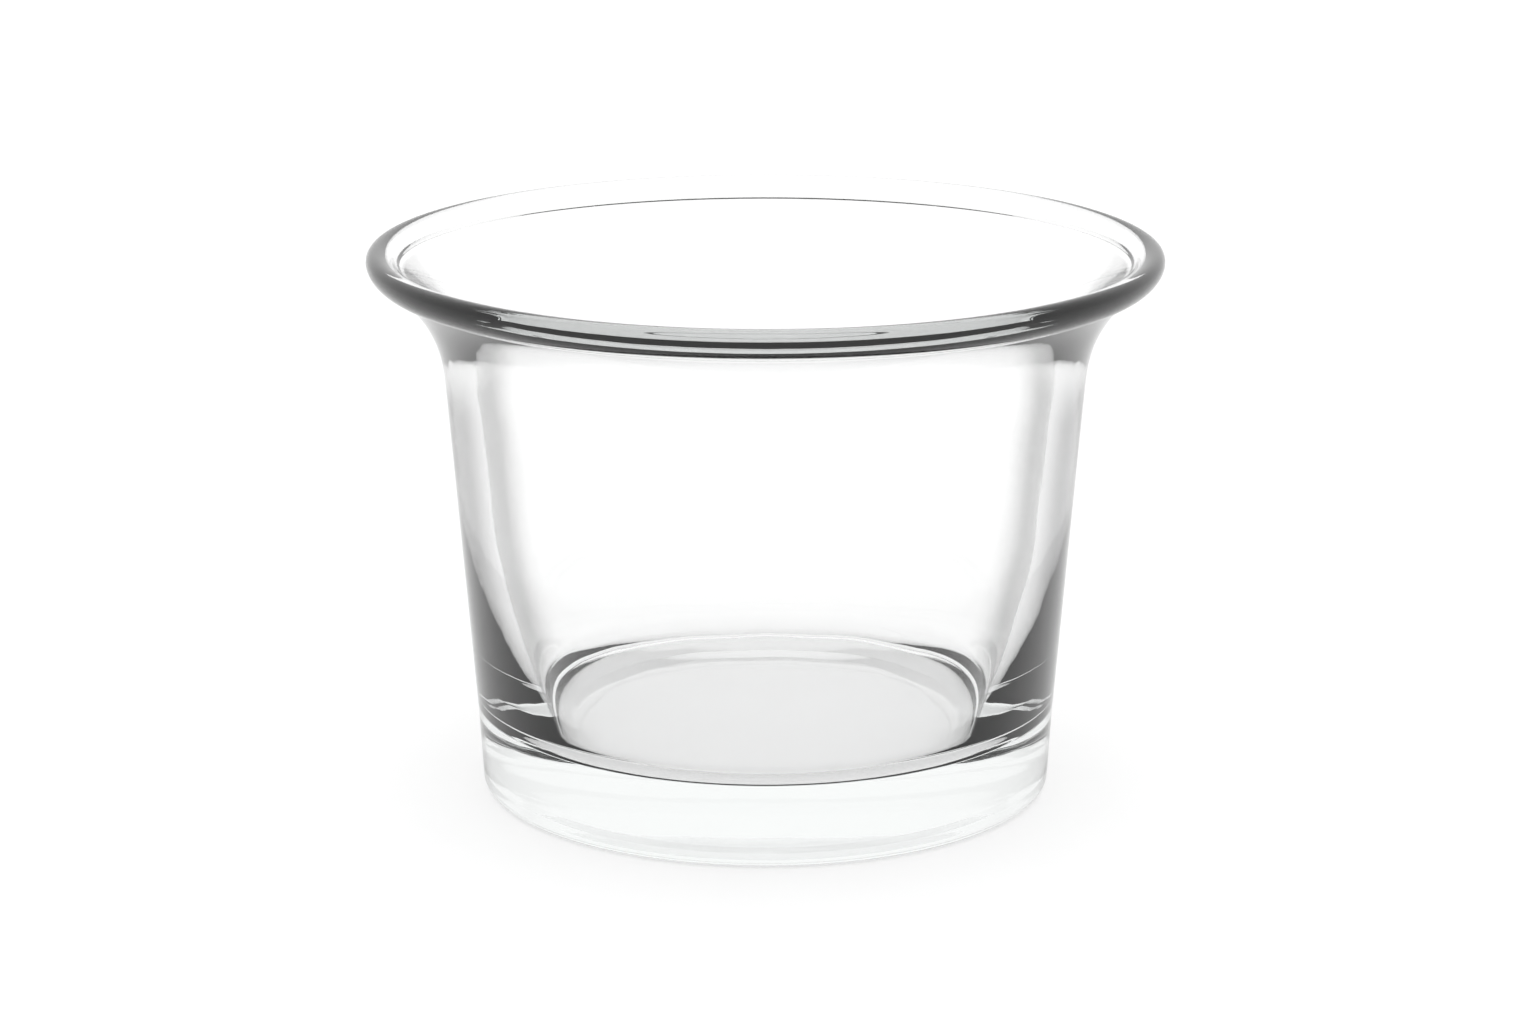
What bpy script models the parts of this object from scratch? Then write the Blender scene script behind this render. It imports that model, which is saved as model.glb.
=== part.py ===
"""Pressed clear-glass mixing glass: a squat, thick-based cup with a flared, beaded rim.

The glass is one piece, so the model is one turned solid. Its section is worked out in the
X-Z plane from the driving dimensions below, in metres, and a Screw modifier turns it once
round Z. The origin is the centre of the foot, on the surface that the glass stands on.
"""

from math import asin, atan2, cos, hypot, pi, radians, sin, tan

import bpy

# Driving dimensions, in metres and degrees. Each one can be changed by itself.
HEIGHT = 0.0600  # foot to the top of the rim bead
RIM_DIAMETER = 0.0860  # across the outside of the rim bead
FOOT_DIAMETER = 0.0625  # outer wall carried down to the foot plane
BAND_HEIGHT = 0.0085  # steeper band round the solid base
BAND_LEAN = 3.4  # lean of that band from the vertical
FOOT_EDGE_RADIUS = 0.0011  # rounding between the band and the foot
FOOT_RING_WIDTH = 0.0073  # flat ring that the glass stands on
PUSH_UP = 0.0001  # depth of the shallow hollow inside that ring
PUSH_UP_SLOPE = 0.0030  # width of the slope between the ring and the hollow
BASE_THICKNESS = 0.0076  # glass under the inner floor
FLOOR_CORNER_RADIUS = 0.0038  # rounding between the inner floor and the inner wall
BOW_TOP = 0.0310  # height above which the inner wall is straight
BOW_RADIUS = 0.1200  # radius of the inner wall's bow, below that height
WALL_AT_BOW = 0.0036  # wall thickness level with the top of the bow
WALL_AT_FLARE = 0.0034  # wall thickness where the rim starts to flare
WALL_AT_BEAD = 0.0024  # glass in the flare where it meets the bead
FLARE_RADIUS = 0.0140  # radius of the outer flare
FLARE_ANGLE = 56.9  # lean of the flare from the vertical where it meets the bead
FLARE_DROP = 0.00125  # end of the outer flare, below the bead's centre
BEAD_LENGTH = 0.00426  # long axis of the oval rim bead
BEAD_THICKNESS = 0.00286  # short axis of the oval rim bead
BEAD_TILT = 39.4  # rise of that long axis towards the outside

# How finely the round shapes are cut.
TURN_STEPS = 72
FOOT_EDGE_STEPS = 4
CORNER_STEPS = 6
BOW_STEPS = 8
FLARE_STEPS = 7
BEAD_STEPS = 16
MEETING_HALVINGS = 40
MERGE_DISTANCE = 0.00001

GLASS_COLOUR = (0.93, 0.96, 0.95, 1.0)
GLASS_ROUGHNESS = 0.02
GLASS_INDEX = 1.52


def on_circle(centre, radius, angle):
    """A point at this angle, in radians from the outward horizontal towards +Z."""
    return (centre[0] + radius * cos(angle), centre[1] + radius * sin(angle))


def arc(centre, radius, start, end, steps):
    """Points along an arc between two angles, both ends included."""
    turns = [start + (end - start) * i / steps for i in range(steps + 1)]
    return [on_circle(centre, radius, turn) for turn in turns]


def tangent_lean(point, centre, radius):
    """Lean from the vertical of the line up from a point that grazes a circle's inner side."""
    across = centre[0] - point[0]
    up = centre[1] - point[1]
    return atan2(across, up) - asin(radius / hypot(across, up))


class Bead:
    """The oval bead round the rim: a tilted ellipse that touches the height and the diameter."""

    def __init__(self):
        self.long = BEAD_LENGTH / 2
        self.short = BEAD_THICKNESS / 2
        self.tilt = radians(BEAD_TILT)
        half_width = hypot(self.long * cos(self.tilt), self.short * sin(self.tilt))
        half_height = hypot(self.long * sin(self.tilt), self.short * cos(self.tilt))
        self.centre = (RIM_DIAMETER / 2 - half_width, HEIGHT - half_height)

    def local(self, point):
        """A point in the ellipse's own axes, as shares of its half lengths."""
        across = point[0] - self.centre[0]
        up = point[1] - self.centre[1]
        along = across * cos(self.tilt) + up * sin(self.tilt)
        beside = up * cos(self.tilt) - across * sin(self.tilt)
        return along / self.long, beside / self.short

    def point(self, turn):
        """The point on the bead at this turn, in radians from its outer tip."""
        along = self.long * cos(turn)
        beside = self.short * sin(turn)
        return (
            self.centre[0] + along * cos(self.tilt) - beside * sin(self.tilt),
            self.centre[1] + along * sin(self.tilt) + beside * cos(self.tilt),
        )

    def meeting(self, curve):
        """How far along a curve, as a share of it, the curve runs into the bead."""
        outside, inside = 0.0, 1.0
        for _ in range(MEETING_HALVINGS):
            middle = (outside + inside) / 2
            if hypot(*self.local(curve(middle))) < 1.0:
                inside = middle
            else:
                outside = middle
        return inside

    def turn_at(self, point):
        along, beside = self.local(point)
        return atan2(beside, along)


class Section:
    """The outline of the cut glass, as (radius, height) points."""

    def __init__(self):
        self.bead = Bead()
        flare_end = (self.bead.centre[0], self.bead.centre[1] - FLARE_DROP)
        self.flare_angle = radians(FLARE_ANGLE)
        self.flare_centre = (
            flare_end[0] + FLARE_RADIUS * cos(self.flare_angle),
            flare_end[1] - FLARE_RADIUS * sin(self.flare_angle),
        )
        self.foot_radius = FOOT_DIAMETER / 2
        self.band_lean = radians(BAND_LEAN)
        self.band_top = (self.foot_radius + BAND_HEIGHT * tan(self.band_lean), BAND_HEIGHT)
        self.outer_lean = tangent_lean(self.band_top, self.flare_centre, FLARE_RADIUS)

    def outer_radius(self, height):
        """Radius of the outside, on the band or on the wall above it."""
        lean = self.band_lean if height < BAND_HEIGHT else self.outer_lean
        return self.band_top[0] + (height - BAND_HEIGHT) * tan(lean)

    def flare(self, start_lean, start_wall, end_wall):
        """A curve up the flare, at a distance from its outside that eases between two walls."""

        def curve(share):
            lean = start_lean + (self.flare_angle - start_lean) * share
            wall = start_wall + (end_wall - start_wall) * share * share
            return on_circle(self.flare_centre, FLARE_RADIUS + wall, pi - lean)

        return curve

    def inside(self):
        """From the centre of the inner floor out to its corner, up the bow, wall and flare.

        The bow grazes the straight wall at its top. The floor corner grazes the bow, from
        within, and the flat floor.
        """
        bow_top = (self.outer_radius(BOW_TOP) - WALL_AT_BOW, BOW_TOP)
        lean = tangent_lean(bow_top, self.flare_centre, FLARE_RADIUS + WALL_AT_FLARE)
        bow = (bow_top[0] - BOW_RADIUS * cos(lean), bow_top[1] + BOW_RADIUS * sin(lean))
        corner_reach = BOW_RADIUS - FLOOR_CORNER_RADIUS
        corner_height = BASE_THICKNESS + FLOOR_CORNER_RADIUS
        low_lean = asin((bow[1] - corner_height) / corner_reach)
        corner = (bow[0] + corner_reach * cos(low_lean), corner_height)
        points = [(0.0, BASE_THICKNESS)]
        points += arc(corner, FLOOR_CORNER_RADIUS, -pi / 2, -low_lean, CORNER_STEPS)
        points += arc(bow, BOW_RADIUS, -low_lean, -lean, BOW_STEPS)[1:]
        curve = self.flare(lean, WALL_AT_FLARE, WALL_AT_BEAD)
        reach = self.bead.meeting(curve)
        points += [curve(reach * i / FLARE_STEPS) for i in range(FLARE_STEPS + 1)]
        return points

    def outside(self):
        """Down the outer flare and wall, round the foot's edge, to the centre underneath."""
        curve = self.flare(self.outer_lean, 0.0, 0.0)
        reach = self.bead.meeting(curve)
        points = [curve(reach * i / FLARE_STEPS) for i in range(FLARE_STEPS, -1, -1)]
        points.append(self.band_top)
        edge_setback = FOOT_EDGE_RADIUS / cos(self.band_lean)
        edge_radius = self.outer_radius(FOOT_EDGE_RADIUS) - edge_setback
        edge = (edge_radius, FOOT_EDGE_RADIUS)
        points += arc(edge, FOOT_EDGE_RADIUS, -self.band_lean, -pi / 2, FOOT_EDGE_STEPS)
        ring_inside = edge_radius - FOOT_RING_WIDTH
        points.append((ring_inside, 0.0))
        points.append((ring_inside - PUSH_UP_SLOPE, PUSH_UP))
        points.append((0.0, PUSH_UP))
        return points

    def outline(self):
        """The whole outline: the inside, over the top of the bead, then the outside."""
        inside = self.inside()
        outside = self.outside()
        start = self.bead.turn_at(inside[-1])
        end = self.bead.turn_at(outside[0])
        if start < end:
            start += 2 * pi
        turns = [start + (end - start) * i / BEAD_STEPS for i in range(1, BEAD_STEPS)]
        return inside + [self.bead.point(turn) for turn in turns] + outside


def clear_glass():
    """Colourless soda-lime glass."""
    material = bpy.data.materials.new("clear_glass")
    material.use_nodes = True
    shader = material.node_tree.nodes["Principled BSDF"]
    shader.inputs["Base Color"].default_value = GLASS_COLOUR
    shader.inputs["Metallic"].default_value = 0.0
    shader.inputs["Roughness"].default_value = GLASS_ROUGHNESS
    shader.inputs["IOR"].default_value = GLASS_INDEX
    shader.inputs["Transmission Weight"].default_value = 1.0
    return material


def turned(name, outline, material):
    """One object: the outline turned once round Z, from the floor's centre to the foot's."""
    mesh = bpy.data.meshes.new(name)
    points = [(radius, 0.0, height) for radius, height in outline]
    edges = [(i, i + 1) for i in range(len(points) - 1)]
    mesh.from_pydata(points, edges, [])
    mesh.materials.append(material)
    item = bpy.data.objects.new(name, mesh)
    bpy.context.collection.objects.link(item)
    screw = item.modifiers.new("turn", "SCREW")
    screw.axis = "Z"
    screw.angle = 2 * pi
    screw.steps = TURN_STEPS
    screw.render_steps = TURN_STEPS
    screw.use_merge_vertices = True
    screw.merge_threshold = MERGE_DISTANCE
    screw.use_smooth_shade = True
    return item


for old in list(bpy.data.objects):
    bpy.data.objects.remove(old, do_unlink=True)

turned("glass_body", Section().outline(), clear_glass())
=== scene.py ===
"""Mixing glass: the fine glass surface, its material, and a plain soft studio."""

from math import pi, radians

import bpy
import numpy as np
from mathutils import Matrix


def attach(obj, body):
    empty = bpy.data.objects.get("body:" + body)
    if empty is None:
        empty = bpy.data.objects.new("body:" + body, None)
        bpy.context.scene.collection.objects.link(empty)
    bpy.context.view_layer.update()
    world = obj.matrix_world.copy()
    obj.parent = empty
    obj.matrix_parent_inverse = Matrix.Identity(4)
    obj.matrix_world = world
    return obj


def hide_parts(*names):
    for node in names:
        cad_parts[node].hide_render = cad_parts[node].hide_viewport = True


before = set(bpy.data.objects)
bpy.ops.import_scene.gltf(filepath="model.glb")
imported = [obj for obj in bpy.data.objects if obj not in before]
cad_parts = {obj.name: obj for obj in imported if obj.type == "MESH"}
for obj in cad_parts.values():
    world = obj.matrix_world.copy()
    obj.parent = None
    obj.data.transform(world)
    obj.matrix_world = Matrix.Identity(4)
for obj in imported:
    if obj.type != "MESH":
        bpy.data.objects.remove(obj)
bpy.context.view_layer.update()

# ---- the camera: a 100 mm lens, a little above the rim ---------------------------------

CAMERA_LENS = 100.0
CAMERA_SENSOR = 36.0
CAMERA_NEAR = 0.01
CAMERA_FAR = 50.0
CAMERA_BACK = 0.4519
CAMERA_HEIGHT = 0.1512
CAMERA_ASIDE = 0.00027
CAMERA_PITCH = 0.2616


def make_camera():
    """The camera, tipped down from level by its pitch, in front of the glass."""
    data = bpy.data.cameras.new("studio_camera")
    data.lens = CAMERA_LENS
    data.sensor_width = CAMERA_SENSOR
    data.clip_start = CAMERA_NEAR
    data.clip_end = CAMERA_FAR
    camera = bpy.data.objects.new("studio_camera", data)
    camera.location = (CAMERA_ASIDE, -CAMERA_BACK, CAMERA_HEIGHT)
    camera.rotation_euler = (pi / 2 - CAMERA_PITCH, 0.0, 0.0)
    bpy.context.collection.objects.link(camera)
    bpy.context.scene.camera = camera


make_camera()

# ---- the section of the glass, in metres -----------------------------------------------

HEIGHT = 0.0600
RIM_RADIUS = 0.0430
FOOT_RADIUS = 0.03125
BAND_HEIGHT = 0.0085
BAND_LEAN = radians(3.4)
FOOT_EDGE_RADIUS = 0.0011
FOOT_RING_WIDTH = 0.0073
PUSH_UP = 0.0001
PUSH_UP_SLOPE = 0.0030
BASE_THICKNESS = 0.0076
FLOOR_CORNER_RADIUS = 0.0038
BOW_TOP = 0.0310
BOW_RADIUS = 0.1200
WALL_AT_BOW = 0.0036
WALL_AT_FLARE = 0.0034
WALL_AT_BEAD = 0.0024
FLARE_RADIUS = 0.0140
FLARE_ANGLE = radians(56.9)
FLARE_DROP = 0.00125
BEAD_LONG = 0.00213
BEAD_SHORT = 0.00143
BEAD_TILT = radians(39.4)

TURN_STEPS = 256
FOOT_EDGE_POINTS = 12
FLOOR_CORNER_POINTS = 20
BOW_POINTS = 36
FLARE_POINTS = 44
BEAD_POINTS = 60
STRAIGHT_RING = 0.0010
CORNER_RING = 0.0002
WALL_RING = 0.0006
EASING_REACH = 0.0030

WAVE_DEPTH = 0.000012
WAVES_ROUND = (5, 9, 14, 23)
WAVES_UP = (1.0, 2.5, 1.7, 4.2)
WAVES_OUTSIDE = 0.4  # phase of the outer face
WAVES_INSIDE = 1.9  # phase of the inner face


def on_circle(centre, radius, angle):
    """Points at these angles, measured from the outward horizontal towards +Z."""
    return np.stack([centre[0] + radius * np.cos(angle), centre[1] + radius * np.sin(angle)], 1)


def tangent_lean(point, centre, radius):
    """Lean from the vertical of the line up from a point that grazes a circle's inner side."""
    across, up = centre[0] - point[0], centre[1] - point[1]
    return np.arctan2(across, up) - np.arcsin(radius / np.hypot(across, up))


def bead_centre():
    """Centre of the tilted oval that touches the glass's full height and full radius."""
    width = np.hypot(BEAD_LONG * np.cos(BEAD_TILT), BEAD_SHORT * np.sin(BEAD_TILT))
    height = np.hypot(BEAD_LONG * np.sin(BEAD_TILT), BEAD_SHORT * np.cos(BEAD_TILT))
    return np.array([RIM_RADIUS - width, HEIGHT - height])


def bead_local(points, centre):
    """Points in the bead's own axes, as shares of its half lengths."""
    across, up = (points - centre).T
    along = across * np.cos(BEAD_TILT) + up * np.sin(BEAD_TILT)
    beside = up * np.cos(BEAD_TILT) - across * np.sin(BEAD_TILT)
    return np.stack([along / BEAD_LONG, beside / BEAD_SHORT], 1)


def bead_points(centre, turns):
    """Points round the bead: x = a cos t, y = b sin t, turned by its tilt."""
    along, beside = BEAD_LONG * np.cos(turns), BEAD_SHORT * np.sin(turns)
    across = along * np.cos(BEAD_TILT) - beside * np.sin(BEAD_TILT)
    up = along * np.sin(BEAD_TILT) + beside * np.cos(BEAD_TILT)
    return centre + np.stack([across, up], 1)


def until_bead(points, centre):
    """The points of a curve before it runs into the bead."""
    inside = np.hypot(*bead_local(points, centre).T) < 1.0
    return points[: int(np.argmax(inside))] if inside.any() else points


def eased(curve):
    """The curve at even steps, each point a Hann-weighted mean of its neighbours along it.

    Straight stretches and both ends stay where they are, because the curve is carried past each
    end by turning it half round that end. Sudden changes of curvature become gradual ones.
    """
    along = np.concatenate([[0.0], np.cumsum(np.hypot(*np.diff(curve, axis=0).T))])
    even = np.linspace(0.0, along[-1], int(along[-1] / WALL_RING) + 1)
    points = np.stack([np.interp(even, along, curve[:, 0]), np.interp(even, along, curve[:, 1])], 1)
    reach = int(EASING_REACH / WALL_RING)
    before = 2 * points[0] - points[reach:0:-1]
    after = 2 * points[-1] - points[-2 : -reach - 2 : -1]
    padded = np.concatenate([before, points, after])
    window = np.hanning(2 * reach + 3)[1:-1]
    window /= window.sum()
    return np.stack([np.convolve(padded[:, axis], window, "valid") for axis in (0, 1)], 1)


def with_rings(outline):
    """The outline with added points on its straight stretches.

    A stretch gets one point close to each end, where smooth shading would otherwise bend the
    whole flat, and evenly spaced points between them.
    """
    pieces = []
    for start, end in zip(outline[:-1], outline[1:]):
        length = np.hypot(*(end - start))
        share = np.array([0.0])
        if length > STRAIGHT_RING:
            steps = int(np.ceil(length / STRAIGHT_RING))
            near = CORNER_RING / length
            share = np.concatenate([[0.0, near], np.arange(1, steps) / steps, [1.0 - near]])
        pieces.append(start + share[:, None] * (end - start))
    return np.concatenate(pieces + [outline[-1:]])


def outer_side(bead, flare):
    """From the foot's centre out, round its edge, up the band and the wall, to the bead."""
    band_top = np.array([FOOT_RADIUS + BAND_HEIGHT * np.tan(BAND_LEAN), BAND_HEIGHT])
    lean = tangent_lean(band_top, flare, FLARE_RADIUS)
    edge_radius = FOOT_RADIUS + FOOT_EDGE_RADIUS * (np.tan(BAND_LEAN) - 1 / np.cos(BAND_LEAN))
    edge = np.array([edge_radius, FOOT_EDGE_RADIUS])
    ring_in = edge_radius - FOOT_RING_WIDTH
    foot = np.array([[0.0, PUSH_UP], [ring_in - PUSH_UP_SLOPE, PUSH_UP], [ring_in, 0.0]])
    foot_edge = on_circle(edge, FOOT_EDGE_RADIUS, np.linspace(-pi / 2, -BAND_LEAN, FOOT_EDGE_POINTS))
    leans = np.linspace(lean, FLARE_ANGLE, FLARE_POINTS)
    curve = until_bead(on_circle(flare, FLARE_RADIUS, pi - leans), bead)
    wall_radius = band_top[0] + (BOW_TOP - BAND_HEIGHT) * np.tan(lean)
    wall = eased(np.concatenate([band_top[None], curve]))
    return np.concatenate([foot, foot_edge, wall]), wall_radius


def inner_side(bead, flare, outer_wall_radius):
    """From the floor's centre out, round its corner, up the bow and the wall, to the bead.

    The bow is an arc that grazes the straight wall at its top, with its centre on the axis side.
    The floor corner is an arc that grazes both the bow, from within, and the flat floor.
    """
    bow_top = np.array([outer_wall_radius - WALL_AT_BOW, BOW_TOP])
    lean = tangent_lean(bow_top, flare, FLARE_RADIUS + WALL_AT_FLARE)
    bow = bow_top + BOW_RADIUS * np.array([-np.cos(lean), np.sin(lean)])
    reach = BOW_RADIUS - FLOOR_CORNER_RADIUS
    corner_height = BASE_THICKNESS + FLOOR_CORNER_RADIUS
    low_lean = np.arcsin((bow[1] - corner_height) / reach)
    corner = np.array([bow[0] + reach * np.cos(low_lean), corner_height])
    corner_turns = np.linspace(-pi / 2, -low_lean, FLOOR_CORNER_POINTS)
    floor_corner = on_circle(corner, FLOOR_CORNER_RADIUS, corner_turns)
    bow_points = on_circle(bow, BOW_RADIUS, np.linspace(-low_lean, -lean, BOW_POINTS)[1:])
    leans = np.linspace(lean, FLARE_ANGLE, FLARE_POINTS)
    share = (leans - lean) / (FLARE_ANGLE - lean)
    thickness = WALL_AT_FLARE + (WALL_AT_BEAD - WALL_AT_FLARE) * share**2
    curve = until_bead(on_circle(flare, FLARE_RADIUS + thickness, pi - leans), bead)
    wall = eased(np.concatenate([floor_corner[-1:], bow_points, curve]))
    return np.concatenate([[[0.0, BASE_THICKNESS]], floor_corner[:-1], wall])


def section():
    """The cut glass's outline, foot's centre to floor's centre, and which points are inside."""
    bead = bead_centre()
    flare_end = bead - [0.0, FLARE_DROP]
    flare = flare_end + FLARE_RADIUS * np.array([np.cos(FLARE_ANGLE), -np.sin(FLARE_ANGLE)])
    outer, outer_wall_radius = outer_side(bead, flare)
    inner = inner_side(bead, flare, outer_wall_radius)
    ends = bead_local(np.stack([outer[-1], inner[-1]]), bead)
    start, end = np.arctan2(ends[:, 1], ends[:, 0])
    end += 2 * pi if end < start else 0.0
    round_bead = bead_points(bead, np.linspace(start, end, BEAD_POINTS)[1:-1])
    outer, inner = with_rings(outer), with_rings(inner)[::-1]
    inside = np.arange(len(outer) + len(round_bead) + len(inner)) >= len(outer) + len(round_bead)
    return np.concatenate([outer, round_bead, inner]), inside


def pressing_waves(height, turns, phase):
    """Slight unevenness from pressing: a mean of sines in turn and height.

    It is multiplied by sin(pi z / H) squared, so it fades out at the foot and at the rim.
    """
    share = height / HEIGHT
    pairs = zip(WAVES_ROUND, WAVES_UP)
    waves = [np.sin(k * turns + 2 * pi * m * share + phase * k) for k, m in pairs]
    return WAVE_DEPTH * np.mean(waves, 0) * np.sin(pi * share) ** 2


def turned(name, outline, inside, steps):
    """A closed surface: point (r, z) of the outline and angle t give (r cos t, r sin t, z).

    The first and last points lie on the axis and become single poles.
    """
    turns = np.arange(steps) * 2 * pi / steps
    radius, height = outline[1:-1, 0][:, None], outline[1:-1, 1][:, None]
    phase = np.where(inside[1:-1], WAVES_INSIDE, WAVES_OUTSIDE)[:, None]
    radius = radius + pressing_waves(height, turns, phase)
    grid = np.stack([radius * np.cos(turns), radius * np.sin(turns), height + 0 * turns], 2)
    rows = len(outline) - 2
    verts = np.concatenate([grid.reshape(-1, 3), [[0, 0, outline[0, 1]], [0, 0, outline[-1, 1]]]])
    row, col = np.meshgrid(np.arange(rows - 1), np.arange(steps), indexing="ij")
    here, right = row * steps + col, row * steps + (col + 1) % steps
    quads = np.stack([here, right, right + steps, here + steps], 2).reshape(-1, 4)
    around = np.arange(steps)
    beyond = (around + 1) % steps
    foot_pole, floor_pole, last = rows * steps, rows * steps + 1, (rows - 1) * steps
    foot_fan = np.stack([np.full(steps, foot_pole), beyond, around], 1)
    floor_fan = np.stack([np.full(steps, floor_pole), last + around, last + beyond], 1)
    mesh = bpy.data.meshes.new(name)
    mesh.from_pydata(verts.tolist(), [], quads.tolist() + foot_fan.tolist() + floor_fan.tolist())
    mesh.shade_smooth()
    mesh.update()
    piece = bpy.data.objects.new(name, mesh)
    bpy.context.collection.objects.link(piece)
    return piece


# ---- the glass -------------------------------------------------------------------------

GLASS_IOR = 1.52
# Painted shade: the glass's base colour goes dark towards its silhouettes and on a band of the wall
EDGE_PAINTED_SHADE = 0.22
SILHOUETTE_SHADE_SPAN = (0.76, 0.98)  # painted shade: how edge-on any surface is where it starts and is full
WALL_SHADE_SPAN = (0.46, 0.72)  # the same painted shade for the wall, which is thicker seen edge-on
WALL_SHADE_FOOT = (0.0085, 0.0130)  # heights over which the wall's painted shade fades in
WALL_SHADE_HEAD = (0.0430, 0.0540)  # heights over which it fades out again
CLEAR = 0.985
ABSORPTION_DENSITY = 10.0
ABSORPTION_TINT = (0.80, 0.83, 0.82, 1.0)
HANDLING_SCALE = 90.0  # faint marks that take a little off the gloss
HANDLING_DETAIL = 4.0
HANDLING_SPAN = (0.45, 0.80)  # noise levels where the gloss starts to go and is least
HANDLING_ROUGHNESS = 0.03
RIPPLE_SCALE = 160.0  # fine unevenness of the pressed skin
RIPPLE_DETAIL = 2.0
RIPPLE_STRENGTH = 0.5
RIPPLE_DEPTH = 0.00002


def ramp(tree, value, start, end, low=0.0, high=1.0):
    """A smooth ramp of a value between two marks, from low to high."""
    node = tree.nodes.new("ShaderNodeMapRange")
    node.interpolation_type = "SMOOTHSTEP"
    node.inputs["From Min"].default_value = start
    node.inputs["From Max"].default_value = end
    node.inputs["To Min"].default_value = low
    node.inputs["To Max"].default_value = high
    tree.links.new(value, node.inputs["Value"])
    return node.outputs["Result"]


def combine(tree, operation, first, second):
    """Two values put through one maths node."""
    node = tree.nodes.new("ShaderNodeMath")
    node.operation = operation
    tree.links.new(first, node.inputs[0])
    tree.links.new(second, node.inputs[1])
    return node.outputs[0]


def glass_material():
    """Clear pressed glass with painted shade towards its edges, faintly uneven in gloss and surface.
    """
    material = bpy.data.materials.new("clear_pressed_glass")
    material.use_nodes = True
    tree = material.node_tree
    nodes, links = tree.nodes, tree.links
    shader = nodes["Principled BSDF"]
    shader.inputs["Metallic"].default_value = 0.0
    shader.inputs["IOR"].default_value = GLASS_IOR
    shader.inputs["Transmission Weight"].default_value = 1.0

    place = nodes.new("ShaderNodeTexCoord")
    facing = nodes.new("ShaderNodeLayerWeight")
    facing.inputs["Blend"].default_value = 0.5
    height = nodes.new("ShaderNodeSeparateXYZ")
    links.new(place.outputs["Object"], height.inputs[0])
    foot = ramp(tree, height.outputs["Z"], *WALL_SHADE_FOOT)
    head = ramp(tree, height.outputs["Z"], *WALL_SHADE_HEAD, low=1.0, high=0.0)
    wall = combine(tree, "MULTIPLY", foot, head)
    # painted shade: full where the surface is seen edge-on, and on the wall's band between two
    # heights
    wall_shade_share = combine(tree, "MULTIPLY", ramp(tree, facing.outputs["Facing"], *WALL_SHADE_SPAN), wall)
    edge = combine(tree, "MAXIMUM", ramp(tree, facing.outputs["Facing"], *SILHOUETTE_SHADE_SPAN), wall_shade_share)
    # the base colour goes from clear to the painted edge shade as that mask rises
    painted_shade_mix = nodes.new("ShaderNodeMix")
    painted_shade_mix.data_type = "RGBA"
    painted_shade_mix.inputs["A"].default_value = (CLEAR, CLEAR, CLEAR, 1.0)
    painted_shade_mix.inputs["B"].default_value = (EDGE_PAINTED_SHADE, EDGE_PAINTED_SHADE, EDGE_PAINTED_SHADE, 1.0)
    links.new(edge, painted_shade_mix.inputs["Factor"])
    links.new(painted_shade_mix.outputs["Result"], shader.inputs["Base Color"])

    handling = nodes.new("ShaderNodeTexNoise")
    handling.inputs["Scale"].default_value = HANDLING_SCALE
    handling.inputs["Detail"].default_value = HANDLING_DETAIL
    gloss = nodes.new("ShaderNodeMapRange")
    gloss.inputs["From Min"].default_value = HANDLING_SPAN[0]
    gloss.inputs["From Max"].default_value = HANDLING_SPAN[1]
    gloss.inputs["To Min"].default_value = 0.0
    gloss.inputs["To Max"].default_value = HANDLING_ROUGHNESS
    links.new(place.outputs["Object"], handling.inputs["Vector"])
    links.new(handling.outputs["Fac"], gloss.inputs["Value"])
    links.new(gloss.outputs["Result"], shader.inputs["Roughness"])

    ripple = nodes.new("ShaderNodeTexNoise")
    ripple.inputs["Scale"].default_value = RIPPLE_SCALE
    ripple.inputs["Detail"].default_value = RIPPLE_DETAIL
    bump = nodes.new("ShaderNodeBump")
    bump.inputs["Strength"].default_value = RIPPLE_STRENGTH
    bump.inputs["Distance"].default_value = RIPPLE_DEPTH
    links.new(place.outputs["Object"], ripple.inputs["Vector"])
    links.new(ripple.outputs["Fac"], bump.inputs["Height"])
    links.new(bump.outputs["Normal"], shader.inputs["Normal"])

    absorb = nodes.new("ShaderNodeVolumeAbsorption")
    absorb.inputs["Color"].default_value = ABSORPTION_TINT
    absorb.inputs["Density"].default_value = ABSORPTION_DENSITY
    links.new(absorb.outputs["Volume"], nodes["Material Output"].inputs["Volume"])
    return material


glass = turned("glass_cup", *section(), TURN_STEPS)
glass.data.materials.append(glass_material())
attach(glass, "root")
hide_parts("glass_body")

# ---- the studio ------------------------------------------------------------------------

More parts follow.
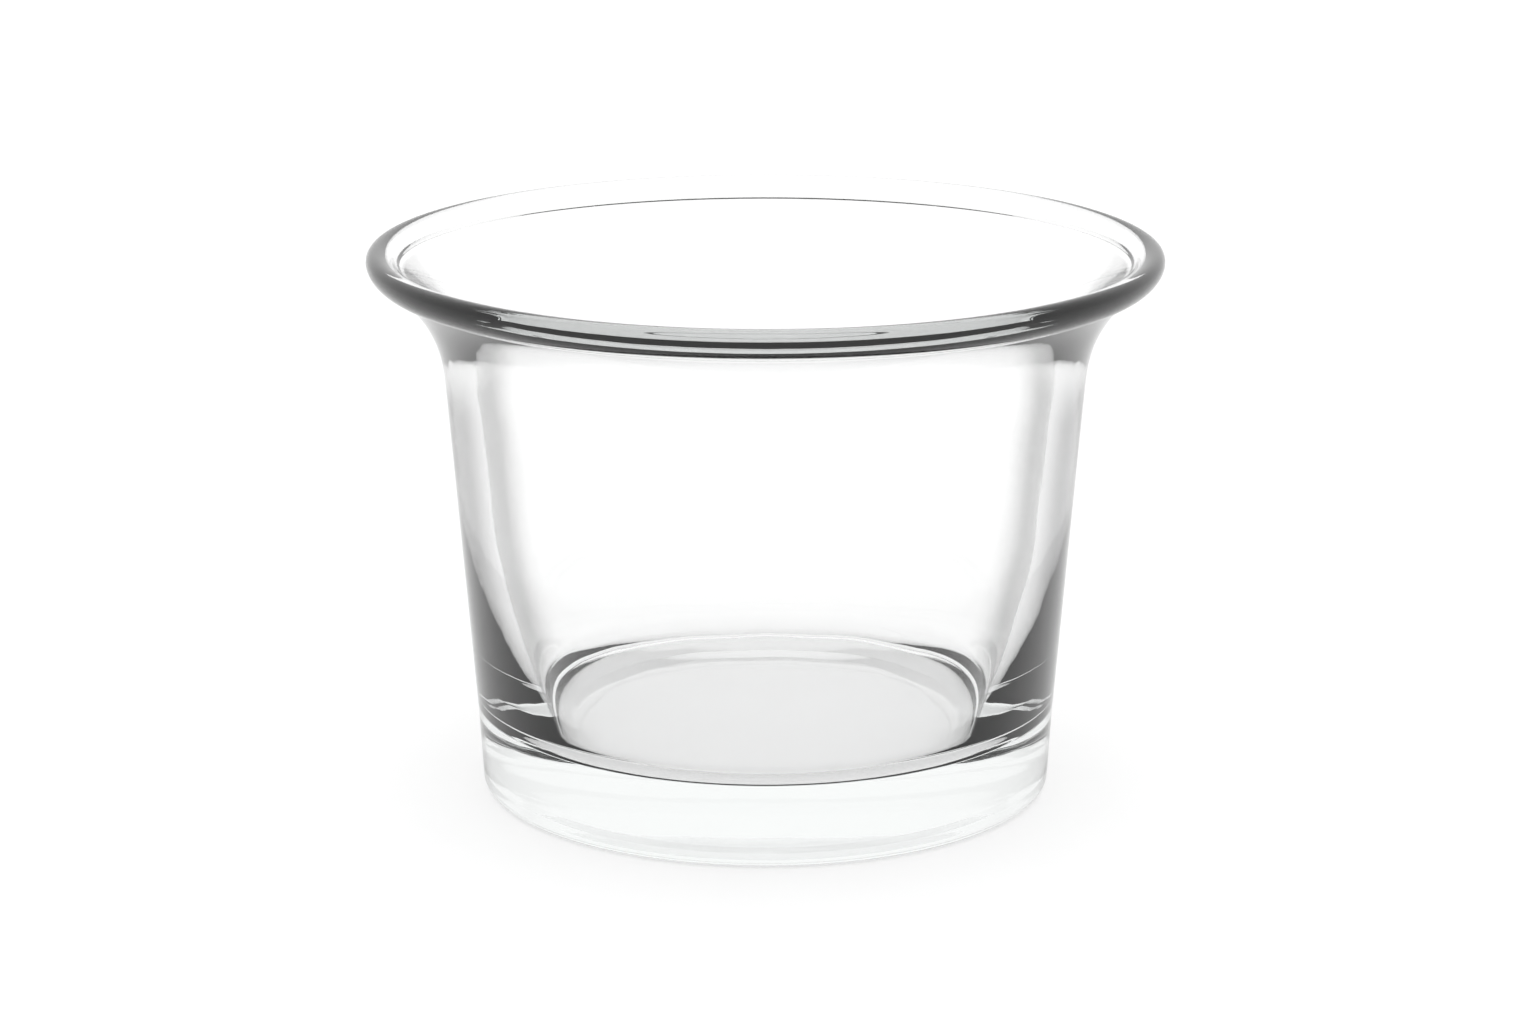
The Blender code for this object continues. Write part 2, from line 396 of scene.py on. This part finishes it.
FLOOR_HALF_WIDTH = 3.0
FLOOR_DROP = 0.0001
FLOOR_ALBEDO = 0.55
FLOOR_GLOW = 0.52  # light that the floor gives off by itself
ROOM_BRIGHT = 1.10  # the room ahead, behind and above
ROOM_SIDE = 1.02  # the room straight to the left and right


def studio_world():
    """One soft room: its strength falls with the square of the sideways part of the direction."""
    world = bpy.data.worlds.new("studio")
    bpy.context.scene.world = world
    world.use_nodes = True
    tree = world.node_tree
    direction = tree.nodes.new("ShaderNodeTexCoord")
    split = tree.nodes.new("ShaderNodeSeparateXYZ")
    square = tree.nodes.new("ShaderNodeMath")
    square.operation = "MULTIPLY"
    grade = tree.nodes.new("ShaderNodeMapRange")
    grade.inputs["To Min"].default_value = ROOM_BRIGHT
    grade.inputs["To Max"].default_value = ROOM_SIDE
    tree.links.new(direction.outputs["Generated"], split.inputs[0])
    tree.links.new(split.outputs["X"], square.inputs[0])
    tree.links.new(split.outputs["X"], square.inputs[1])
    tree.links.new(square.outputs[0], grade.inputs["Value"])
    background = tree.nodes["Background"]
    background.inputs["Color"].default_value = (1, 1, 1, 1)
    tree.links.new(grade.outputs["Result"], background.inputs["Strength"])


def floor_material():
    """A plain pale matt floor that gives off some light of its own."""
    material = bpy.data.materials.new("studio_floor")
    material.use_nodes = True
    shader = material.node_tree.nodes["Principled BSDF"]
    shader.inputs["Base Color"].default_value = (FLOOR_ALBEDO, FLOOR_ALBEDO, FLOOR_ALBEDO, 1)
    shader.inputs["Roughness"].default_value = 1.0
    shader.inputs["Specular IOR Level"].default_value = 0.0
    shader.inputs["Emission Color"].default_value = (1, 1, 1, 1)
    shader.inputs["Emission Strength"].default_value = FLOOR_GLOW
    return material


def make_floor():
    """One flat square, just under the foot of the glass."""
    half = FLOOR_HALF_WIDTH
    low = -FLOOR_DROP
    corners = [(-half, -half, low), (half, -half, low), (half, half, low), (-half, half, low)]
    mesh = bpy.data.meshes.new("floor")
    mesh.from_pydata(corners, [], [(0, 1, 2, 3)])
    mesh.materials.append(floor_material())
    floor = bpy.data.objects.new("floor", mesh)
    bpy.context.collection.objects.link(floor)


studio_world()
make_floor()
bpy.context.scene.view_settings.view_transform = "Standard"
